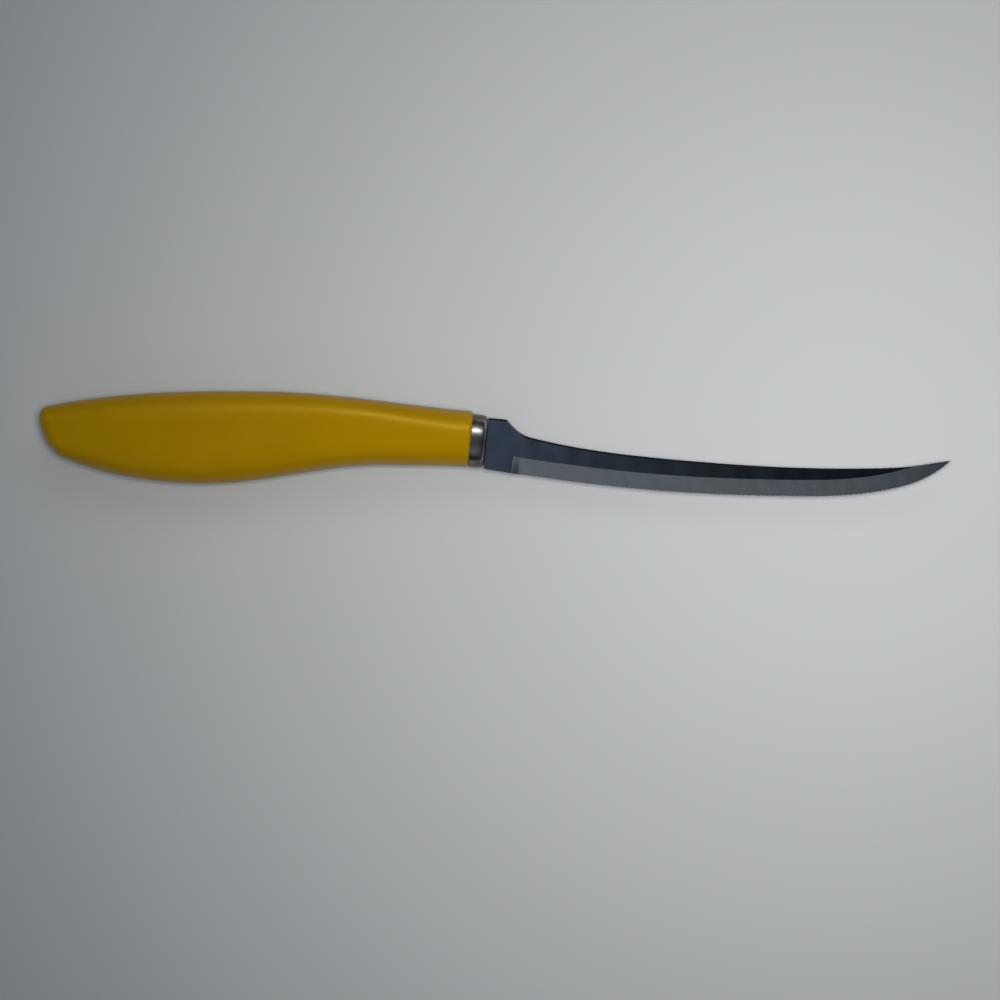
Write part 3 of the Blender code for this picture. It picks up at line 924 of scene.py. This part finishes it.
@dataclass(frozen=True)
class Serration:
    """Fine teeth, each gap a small hollow ground into the face away from the camera."""

    pitch: float = 0.0012
    depth: float = 0.00025
    hollow_height: float = 0.0009
    steps: int = 8
    reach: float = 0.00117

    def tree(self, taper: float, half_edge: float) -> tuple[bpy.types.NodeTree, dict[str, float]]:
        """Make the node tree that cuts the gaps into a smooth edge.

        Args:
            taper: Gain of half the blade's thickness over distance from the edge.
            half_edge: Half the thickness of the edge itself.

        Returns:
            The tree, and the value for each of its named inputs by identifier.
        """
        tree = bpy.data.node_groups.new("fine_serration", "GeometryNodeTree")
        face = tree.interface
        face.new_socket("Geometry", in_out="OUTPUT", socket_type="NodeSocketGeometry")
        face.new_socket("Geometry", in_out="INPUT", socket_type="NodeSocketGeometry")
        slope = taper * (self.hollow_height + self.depth) / (self.hollow_height - self.depth)
        sizes = {
            "Tooth Pitch": self.pitch,
            "Tooth Depth": self.depth,
            "Tooth Reach": self.reach,
            "Taper": taper,
            "Hollow Slope": -slope,
            "Half Edge": -half_edge,
        }
        values = {}
        for name, size in sizes.items():
            socket = face.new_socket(name, in_out="INPUT", socket_type="NodeSocketFloat")
            values[socket.identifier] = size
        given = add(tree, "NodeGroupInput").outputs
        made = {name: given[name] for name in sizes}
        for name in (LENGTHWISE, CROSSWISE, THROUGH, ROOM, GROUND):
            made[name] = add(
                tree, "GeometryNodeInputNamedAttribute", {"Name": name}, data_type="FLOAT"
            ).outputs["Attribute"]
        across = add(
            tree, "GeometryNodeInputNamedAttribute", {"Name": ACROSS}, data_type="FLOAT_VECTOR"
        ).outputs["Attribute"]
        steps = (
            # How deep the gap is at each place along the edge: 0 at a tooth's point, 1 between two
            ("turns", "DIVIDE", LENGTHWISE, "Tooth Pitch"),
            ("phase", "FRACT", "turns"),
            ("swing", "MULTIPLY_ADD", "phase", 2.0, -1.0),
            ("square", "MULTIPLY", "swing", "swing"),
            ("hump", "SUBTRACT", 1.0, "square"),
            ("toothed", "GREATER_THAN", LENGTHWISE, 0.0),
            ("kept", "MULTIPLY", "hump", "toothed"),
            ("bite", "MULTIPLY", "kept", ROOM),
            ("cut", "MULTIPLY", "bite", "Tooth Depth"),
            # The rows near the edge crowd back from the gap, less the further they are from it
            ("reach", "MULTIPLY_ADD", ROOM, "Tooth Reach", WELD_DISTANCE),
            ("far", "DIVIDE", CROSSWISE, "reach"),
            ("rest", "SUBTRACT", 1.0, "far"),
            ("near", "MAXIMUM", "rest", 0.0),
            ("shift", "MULTIPLY", "cut", "near"),
            ("rise", "MULTIPLY", "shift", "Taper"),
            ("upper", "ADD", THROUGH, "rise"),
            ("lower", "SUBTRACT", THROUGH, "rise"),
            # The hollow is a flat that leans from the raised edge down to the lower face
            ("moved", "ADD", CROSSWISE, "shift"),
            ("inward", "SUBTRACT", "moved", "cut"),
            ("lip", "MULTIPLY_ADD", "cut", "Taper", "Half Edge"),
            ("flat", "MULTIPLY_ADD", "inward", "Hollow Slope", "lip"),
            ("hollow", "MAXIMUM", "lower", "flat"),
            ("cut_face", "SWITCH", "toothed", "lower", "hollow"),
            ("below", "LESS_THAN", THROUGH, 0.0),
            ("level", "SWITCH", "below", "upper", "cut_face"),
            ("lift", "SUBTRACT", "level", THROUGH),
        )
        for name, operation, *sources in steps:
            inputs = {number: made.get(source, source) for number, source in enumerate(sources)}
            if operation == "SWITCH":
                node = add(tree, "GeometryNodeSwitch", inputs, input_type="FLOAT")
            else:
                node = add(tree, "ShaderNodeMath", inputs, operation=operation)
            made[name] = node.outputs[0]
        sideways = add(
            tree,
            "ShaderNodeVectorMath",
            {"Vector": across, "Scale": made["shift"]},
            operation="SCALE",
        ).outputs["Vector"]
        upright = add(tree, "ShaderNodeCombineXYZ", {"Z": made["lift"]}).outputs["Vector"]
        offset = add(
            tree, "ShaderNodeVectorMath", {0: sideways, 1: upright}, operation="ADD"
        ).outputs["Vector"]
        teeth = add(
            tree, "GeometryNodeSetPosition", {"Geometry": given["Geometry"], "Offset": offset}
        )
        real = add(tree, "GeometryNodeRealizeInstances", {"Geometry": teeth.outputs["Geometry"]})
        strip = add(tree, "GeometryNodeSetMaterial", {"Geometry": real.outputs["Geometry"]})
        strip.inputs["Material"].default_value = bpy.data.materials[POLISHED_STRIP.name]
        bevel = add(
            tree,
            "GeometryNodeSetMaterial",
            {"Geometry": strip.outputs["Geometry"], "Selection": made[GROUND]},
        )
        bevel.inputs["Material"].default_value = bpy.data.materials[GROUND_BEVEL.name]
        add(tree, "NodeGroupOutput", {"Geometry": bevel.outputs["Geometry"]})
        return tree, values


@dataclass(frozen=True)
class Blade:
    """One stamped strip with its heel, its back, its ground band and its point.

    Heights are from the blade's own line, and shares are of its reach from the collar.
    """

    stance: Stance
    collar_length: float = 0.0037
    thickness: float = 0.0012
    reach: float = 0.1139
    tip_rise: float = 0.0061
    heel_top: float = 0.0059
    heel_bottom: float = 0.0066
    heel_gap: float = 0.0003
    heel_flat: float = 0.0039
    shoulder_length: float = 0.0017
    shoulder_drop: float = 0.00125
    shoulder_slope: float = -0.85
    heel_curve: float = 0.0047
    back_start: float = 0.0021
    back_start_slope: float = -0.16
    back_low: Knot = Knot(0.387, 0.0)
    back_rise: Knot = Knot(0.875, 0.0030, 0.13)
    back_tip_slope: float = 0.23
    edge_heel_slope: float = -0.074
    edge_low: Knot = Knot(0.332, -0.0081)
    edge_middle: Knot = Knot(0.670, -0.0063, 0.082)
    edge_sweep: Knot = Knot(0.881, -0.0022, 0.322)
    edge_tip_slope: float = 1.13
    # The chamfer of the back, down its side and in across its thickness
    back_chamfer: float = 0.00045
    chamfer_inset: float = 0.0003
    chamfer_most: float = 0.2
    point_half_thickness: float = 0.00002
    grind_width: float = 0.0041
    grind_start: float = 0.0065
    grind_run_out: float = 0.0024
    # Share of the run-out that the wheel barely touches, where the flat's polish is left
    untouched: float = 0.04
    edge_thickness: float = 0.0001
    tooth_most: float = 0.3
    tang_root: float = 0.0025
    heel_step: float = 0.00015
    # The back is looked for up to this far from the edge, by halving the span again and again
    farthest_back: float = 0.0264
    halvings: int = 40
    # Rows of points between the edge and the top of the ground band, closer near the teeth
    band_rows: tuple[float, ...] = (0.8, 0.6, 0.4, 0.28, 0.2, 0.14, 0.09, 0.05, 0.02, 0.0)
    body_rows: int = 3

    def moved(self, knot: Knot) -> Knot:
        """Turn a knot's share of the reach into a place along the blade."""
        return Knot(self.collar_length + self.reach * knot.place, knot.height, knot.slope)

    def back(self, x: float) -> float:
        """Height of the back, over the heel and out to the point."""
        shoulder = self.collar_length + self.heel_gap + self.heel_flat
        slope_at = shoulder + self.shoulder_length
        if x <= shoulder:
            return self.heel_top
        return height_on(
            [
                Knot(shoulder, self.heel_top),
                Knot(slope_at, self.heel_top - self.shoulder_drop, self.shoulder_slope),
                Knot(slope_at + self.heel_curve, self.back_start, self.back_start_slope),
                self.moved(self.back_low),
                self.moved(self.back_rise),
                self.moved(Knot(1.0, self.tip_rise, self.back_tip_slope)),
            ],
            x,
        )

    def edge(self, x: float) -> float:
        """Height of the cutting edge."""
        return height_on(
            [
                Knot(self.collar_length, -self.heel_bottom, self.edge_heel_slope),
                self.moved(self.edge_low),
                self.moved(self.edge_middle),
                self.moved(self.edge_sweep),
                self.moved(Knot(1.0, self.tip_rise, self.edge_tip_slope)),
            ],
            x,
        )

    def walk(self, step: float) -> list[tuple[Vector, float]]:
        """Walk along the edge in even steps from the full grind on, and in short ones before it.

        Args:
            step: Distance between two sections along the teeth.

        Returns:
            Each point of the edge, with its distance from the first tooth along the edge.
        """
        first = self.collar_length + self.grind_start + self.grind_run_out
        start = self.collar_length + HAIRLINE
        count = math.ceil((first - start) / self.heel_step)
        places = [blend(start, first, number / count) for number in range(count)]
        feet = [(Vector((x, self.edge(x))), x - first) for x in places]
        x, run = first, 0.0
        while x < self.collar_length + self.reach - 0.5 * step:
            feet.append((Vector((x, self.edge(x))), run))
            rise = self.edge(x + 0.5 * step) - self.edge(x - 0.5 * step)
            x += step / math.hypot(1.0, rise / step)
            run += step
        return feet

    def across(self, foot: Vector, reach: float) -> Vector:
        """Direction across the blade at a point of its edge, upright at the heel."""
        before = Vector((foot.x - reach, self.edge(foot.x - reach)))
        after = Vector((foot.x + reach, self.edge(foot.x + reach)))
        along = (after - before).normalized()
        share = eased((foot.x - self.collar_length) / self.grind_start)
        return Vector((0.0, 1.0)).lerp(Vector((-along.y, along.x)), share).normalized()

    def depth(self, foot: Vector, direction: Vector) -> float:
        """Distance from the edge to the back, across the blade."""
        low, high = 0.0, self.farthest_back
        for _ in range(self.halvings):
            middle = 0.5 * (low + high)
            reached = foot + direction * middle
            if reached.y < self.back(reached.x):
                low = middle
            else:
                high = middle
        return low

    def half_thickness(self, distance: float, ground: float) -> float:
        """Half the thickness at a distance from the edge; ground goes from 0 to 1."""
        missing = max(1.0 - distance / self.grind_width, 0.0)
        return 0.5 * (self.thickness - ground * missing * (self.thickness - self.edge_thickness))

    def ring(self, foot: Vector, run: float, teeth: Serration) -> list[Spot]:
        """Draw the section at one point of the edge, from the back round the edge and up again."""
        direction = self.across(foot, 0.5 * teeth.pitch)
        depth = self.depth(foot, direction)
        start = foot.x - self.collar_length - self.grind_start
        ground = eased(start / self.grind_run_out)
        body_top = depth - min(self.back_chamfer, self.chamfer_most * depth)
        band_top = min(self.grind_width, body_top)
        rows = [blend(body_top, band_top, row / self.body_rows) for row in range(self.body_rows)]
        rows += [band_top] + [band_top * share for share in self.band_rows]
        inset = self.chamfer_inset * (depth - body_top) / self.back_chamfer
        corner = self.half_thickness(depth, ground) - inset
        pairs = [(depth, max(corner, self.point_half_thickness))]
        pairs += [(away, self.half_thickness(away, ground)) for away in rows]
        room = min(1.0, self.tooth_most * depth / teeth.hollow_height)
        across = Vector((*self.stance.on_blade(*direction), 0.0))
        spots = []
        for away, through in pairs + [(away, -through) for away, through in reversed(pairs)]:
            place = self.stance.on_blade(*(foot + direction * away))
            point = Vector((*place, through))
            dressed = start >= self.untouched * self.grind_run_out and away <= band_top
            spots.append(Spot(point, run, away, through, room, across, dressed))
        return spots

    def build(
        self, tang: Tang, teeth: Serration, strip: Steel, bevel: Steel
    ) -> bpy.types.Object:
        """Build the blade with its teeth and its tang.

        Args:
            tang: The tongue at its rear.
            teeth: The serration of its edge.
            strip: Finish of the flats.
            bevel: Finish of the ground band.

        Returns:
            The finished piece.
        """
        feet = self.walk(teeth.pitch / teeth.steps)
        rings = [self.ring(foot, run, teeth) for foot, run in feet]
        point = Vector((*self.stance.on_blade(self.collar_length + self.reach, self.tip_rise), 0.0))
        last = rings[-1]
        rings.append([spot._replace(point=point, room=0.0) for spot in last])
        band = 1 + self.body_rows
        creases = band, len(last) - 1 - band
        mesh = loft("ground_blade", rings, self.stance.zero, creases)
        piece = show("ground_blade", mesh, [strip.material(), bevel.material()])
        root = plate(
            "tang",
            tang.outline(self.stance, 0.0, self.collar_length + self.tang_root),
            tang.hole_rims(tang.hole_radius),
            tang.thickness - 2.0 * HAIRLINE,
            self.stance.zero,
        )
        combine(piece, root, "UNION")
        taper = 0.5 * (self.thickness - self.edge_thickness) / self.grind_width
        tree, values = teeth.tree(taper, 0.5 * self.edge_thickness)
        modifier = piece.modifiers.new("serration", "NODES")
        modifier.node_group = tree
        for identifier, value in values.items():
            modifier[identifier] = value
        apply_modifiers(piece)
        hand_over(piece, "blade")
        return piece


class Lamp(NamedTuple):
    """A soft lamp, placed and aimed from the knife's zero, behind a grid that narrows its light.

    It either lights the surfaces without a glare or makes highlights only.
    """

    name: str
    place: tuple[float, float, float]
    aim: tuple[float, float, float]
    size: tuple[float, float]
    power: float
    spread: float = math.radians(180)
    highlights: bool = False


class Shade(NamedTuple):
    """A colour of the room in directions that lean this far towards the blade's tip."""

    lean: float
    colour: str


@dataclass(frozen=True)
class Studio:
    """Pale board, soft lamps, a dim room and the camera straight above the knife."""

    stance: Stance
    board: PaleBoard = PaleBoard()
    board_size: float = 6.0
    board_gap: float = 0.00005
    # The picture's middle from the knife's zero, and the knife's turn in the picture
    centre: tuple[float, float] = (0.00739, -0.01443)
    turn: float = math.radians(1.28)
    # Width of the picture where the blade lies, and the camera's height above that
    width: float = 0.2453
    height: float = 0.50
    sensor: float = 0.036
    near_clip: float = 0.01
    # The polished flats mirror a dark patch straight above them, long in the knife's direction
    patch_size: tuple[float, float] = (0.50, 0.20)
    patch_edge: tuple[float, float] = (0.6, 1.4)
    patch: tuple[Shade, ...] = (
        Shade(-0.12, "#2C2D30"),
        Shade(-0.03, "#4F586D"),
        Shade(-0.003, "#4F586D"),
        Shade(0.03, "#2B3B41"),
        Shade(0.13, "#171C22"),
        Shade(0.18, "#040407"),
        Shade(0.24, "#040407"),
        Shade(0.38, "#3C4046"),
    )
    # The walls round that patch, which the ground band mirrors, darker towards the tip
    walls: tuple[Shade, ...] = (
        Shade(-0.10, "#858C92"),
        Shade(0.10, "#828A90"),
        Shade(0.34, "#202226"),
    )
    # Below this rise of the view the walls fade into a dark skirting on both sides of the knife
    # and into a grey one past its ends
    skirting: str = "#100F0E"
    skirting_edge: tuple[float, float] = (0.38, 0.62)
    end_skirting: str = "#6E747A"
    end_skirting_edge: tuple[float, float] = (0.78, 0.88)
    # A dark flag above its foot, turned from the back's side towards the tip, which the heel's
    # curved shoulder mirrors
    flag_turn: float = math.radians(15)
    flag_edge: tuple[float, float] = (0.72, 0.80)
    flag_foot: tuple[float, float] = (0.29, 0.33)
    lamps: tuple[Lamp, ...] = (
        Lamp(
            name="overhead",
            place=(0.03, 0.0, 0.42),
            aim=(0.11, 0.0, 0.0),
            size=(0.10, 0.10),
            power=0.30,
            spread=math.radians(82),
        ),
        Lamp(
            name="fill",
            place=(0.12, 0.45, 0.45),
            aim=(0.06, 0.0, 0.0),
            size=(0.50, 0.30),
            power=0.40,
        ),
        Lamp(
            name="strip",
            place=(0.02, 0.306, 0.429),
            aim=(0.0, 0.0, 0.0),
            size=(0.16, 0.08),
            power=0.72,
            highlights=True,
        ),
    )

    def lay_board(self) -> None:
        """Lay the board under the knife."""
        half = 0.5 * self.board_size
        mesh = bpy.data.meshes.new("board")
        corners = [(-half, -half), (half, -half), (half, half), (-half, half)]
        mesh.from_pydata([(x, y, -self.board_gap) for x, y in corners], [], [(0, 1, 2, 3)])
        show("board", mesh, [self.board.material()])

    def hang_lamps(self) -> None:
        """Hang the lamps out of the camera's sight."""
        for lamp in self.lamps:
            light = bpy.data.lights.new(lamp.name, "AREA")
            light.shape = "RECTANGLE"
            light.size, light.size_y = lamp.size
            light.energy = lamp.power
            light.spread = lamp.spread
            hung = put_in_scene(lamp.name, light)
            hung.location = self.stance.zero + Vector(lamp.place)
            aim = Vector(lamp.aim) - Vector(lamp.place)
            hung.rotation_euler = aim.to_track_quat("-Z", "Y").to_euler()
            hung.visible_camera = False
            hung.visible_diffuse = not lamp.highlights
            hung.visible_glossy = lamp.highlights

    def shade_room(self) -> None:
        """Give the room grey walls and the dark patch overhead that the polished steel mirrors."""
        world = bpy.data.worlds.new("room")
        world.use_nodes = True
        tree = world.node_tree
        way = add(tree, "ShaderNodeTexCoord").outputs["Generated"]
        lean, side, rise = add(tree, "ShaderNodeSeparateXYZ", {"Vector": way}).outputs
        wide, deep = self.patch_size
        squeezed = add(
            tree, "ShaderNodeMapping", {"Vector": way, "Scale": (1.0 / wide, 1.0 / deep, 0.0)}
        ).outputs["Vector"]
        away = add(
            tree, "ShaderNodeVectorMath", {"Vector": squeezed}, operation="LENGTH"
        ).outputs["Value"]
        aside = add(tree, "ShaderNodeMath", {0: side}, operation="ABSOLUTE").outputs["Value"]
        flag_way = (math.sin(self.flag_turn), math.cos(self.flag_turn), 0.0)
        facing = add(
            tree, "ShaderNodeVectorMath", {0: way, 1: flag_way}, operation="DOT_PRODUCT"
        ).outputs["Value"]
        beyond, height, beside, on_flag, off_foot = (
            add(
                tree,
                "ShaderNodeMapRange",
                {"Value": value, "From Min": edge[0], "From Max": edge[1]},
                interpolation_type="SMOOTHSTEP",
            ).outputs["Result"]
            for value, edge in (
                (away, self.patch_edge),
                (rise, self.skirting_edge),
                (aside, self.end_skirting_edge),
                (facing, self.flag_edge),
                (rise, self.flag_foot),
            )
        )
        flag = add(tree, "ShaderNodeMath", {0: on_flag, 1: off_foot}, operation="MULTIPLY")
        dark = add(
            tree, "ShaderNodeMath", {0: beside, 1: flag.outputs["Value"]}, operation="MAXIMUM"
        ).outputs["Value"]
        colours = []
        for shades in (self.patch, self.walls):
            first, last = shades[0].lean, shades[-1].lean
            place = add(
                tree, "ShaderNodeMapRange", {"Value": lean, "From Min": first, "From Max": last}
            )
            ramp = add(tree, "ShaderNodeValToRGB", {"Fac": place.outputs["Result"]})
            stops = ramp.color_ramp.elements
            for shade in shades[1:-1]:
                stops.new((shade.lean - first) / (last - first))
            for stop, shade in zip(stops, shades):
                stop.color = linear(shade.colour)
            colours.append(ramp.outputs["Color"])
        upper, lower = (
            add(tree, "ShaderNodeMix", {0: mix, 6: first, 7: last}, data_type="RGBA").outputs[2]
            for mix, first, last in (
                (beyond, colours[0], colours[1]),
                (dark, linear(self.end_skirting), linear(self.skirting)),
            )
        )
        whole = add(tree, "ShaderNodeMix", {0: height, 6: lower, 7: upper}, data_type="RGBA")
        tree.links.new(whole.outputs[2], tree.nodes["Background"].inputs["Color"])
        bpy.context.scene.world = world

    def set_camera(self) -> None:
        """Look straight down at the knife, turned and framed as in the photograph."""
        lens = bpy.data.cameras.new("camera")
        lens.sensor_width = MILLIMETRES * self.sensor
        lens.lens = lens.sensor_width * self.height / self.width
        lens.clip_start = self.near_clip
        camera = put_in_scene("camera", lens)
        camera.location = self.stance.zero + Vector((*self.centre, self.height))
        camera.rotation_euler = (0.0, 0.0, self.turn)
        bpy.context.scene.camera = camera

    def build(self) -> None:
        """Set up everything round the knife."""
        self.lay_board()
        self.hang_lamps()
        self.shade_room()
        self.set_camera()
        bpy.context.scene.view_settings.view_transform = "Standard"


def find_stance() -> Stance:
    """Work out where the knife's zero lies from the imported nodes' boxes."""
    blade, handle = Blade(Stance(Vector())), Handle(Stance(Vector()))
    low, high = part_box("handle")
    tip = blade.stance.on_blade(blade.collar_length + blade.reach, blade.tip_rise)
    zero = Vector(
        (
            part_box("blade")[1][0] - tip.x,
            high[1] - handle.crown.height,
            0.5 * (low[2] + high[2]),
        )
    )
    return Stance(zero)


def main() -> None:
    """Build the studio and the knife, piece by piece."""
    logging.basicConfig(level=logging.INFO)
    stance = find_stance()
    tang = Tang()
    collar = Collar(stance)
    Studio(stance).build()
    Handle(stance).build(tang, collar, MouldedPolypropylene())
    collar.build(tang, WORN_CUP)
    Blade(stance).build(tang, Serration(), POLISHED_STRIP, GROUND_BEVEL)


if __name__ == "__main__":
    main()
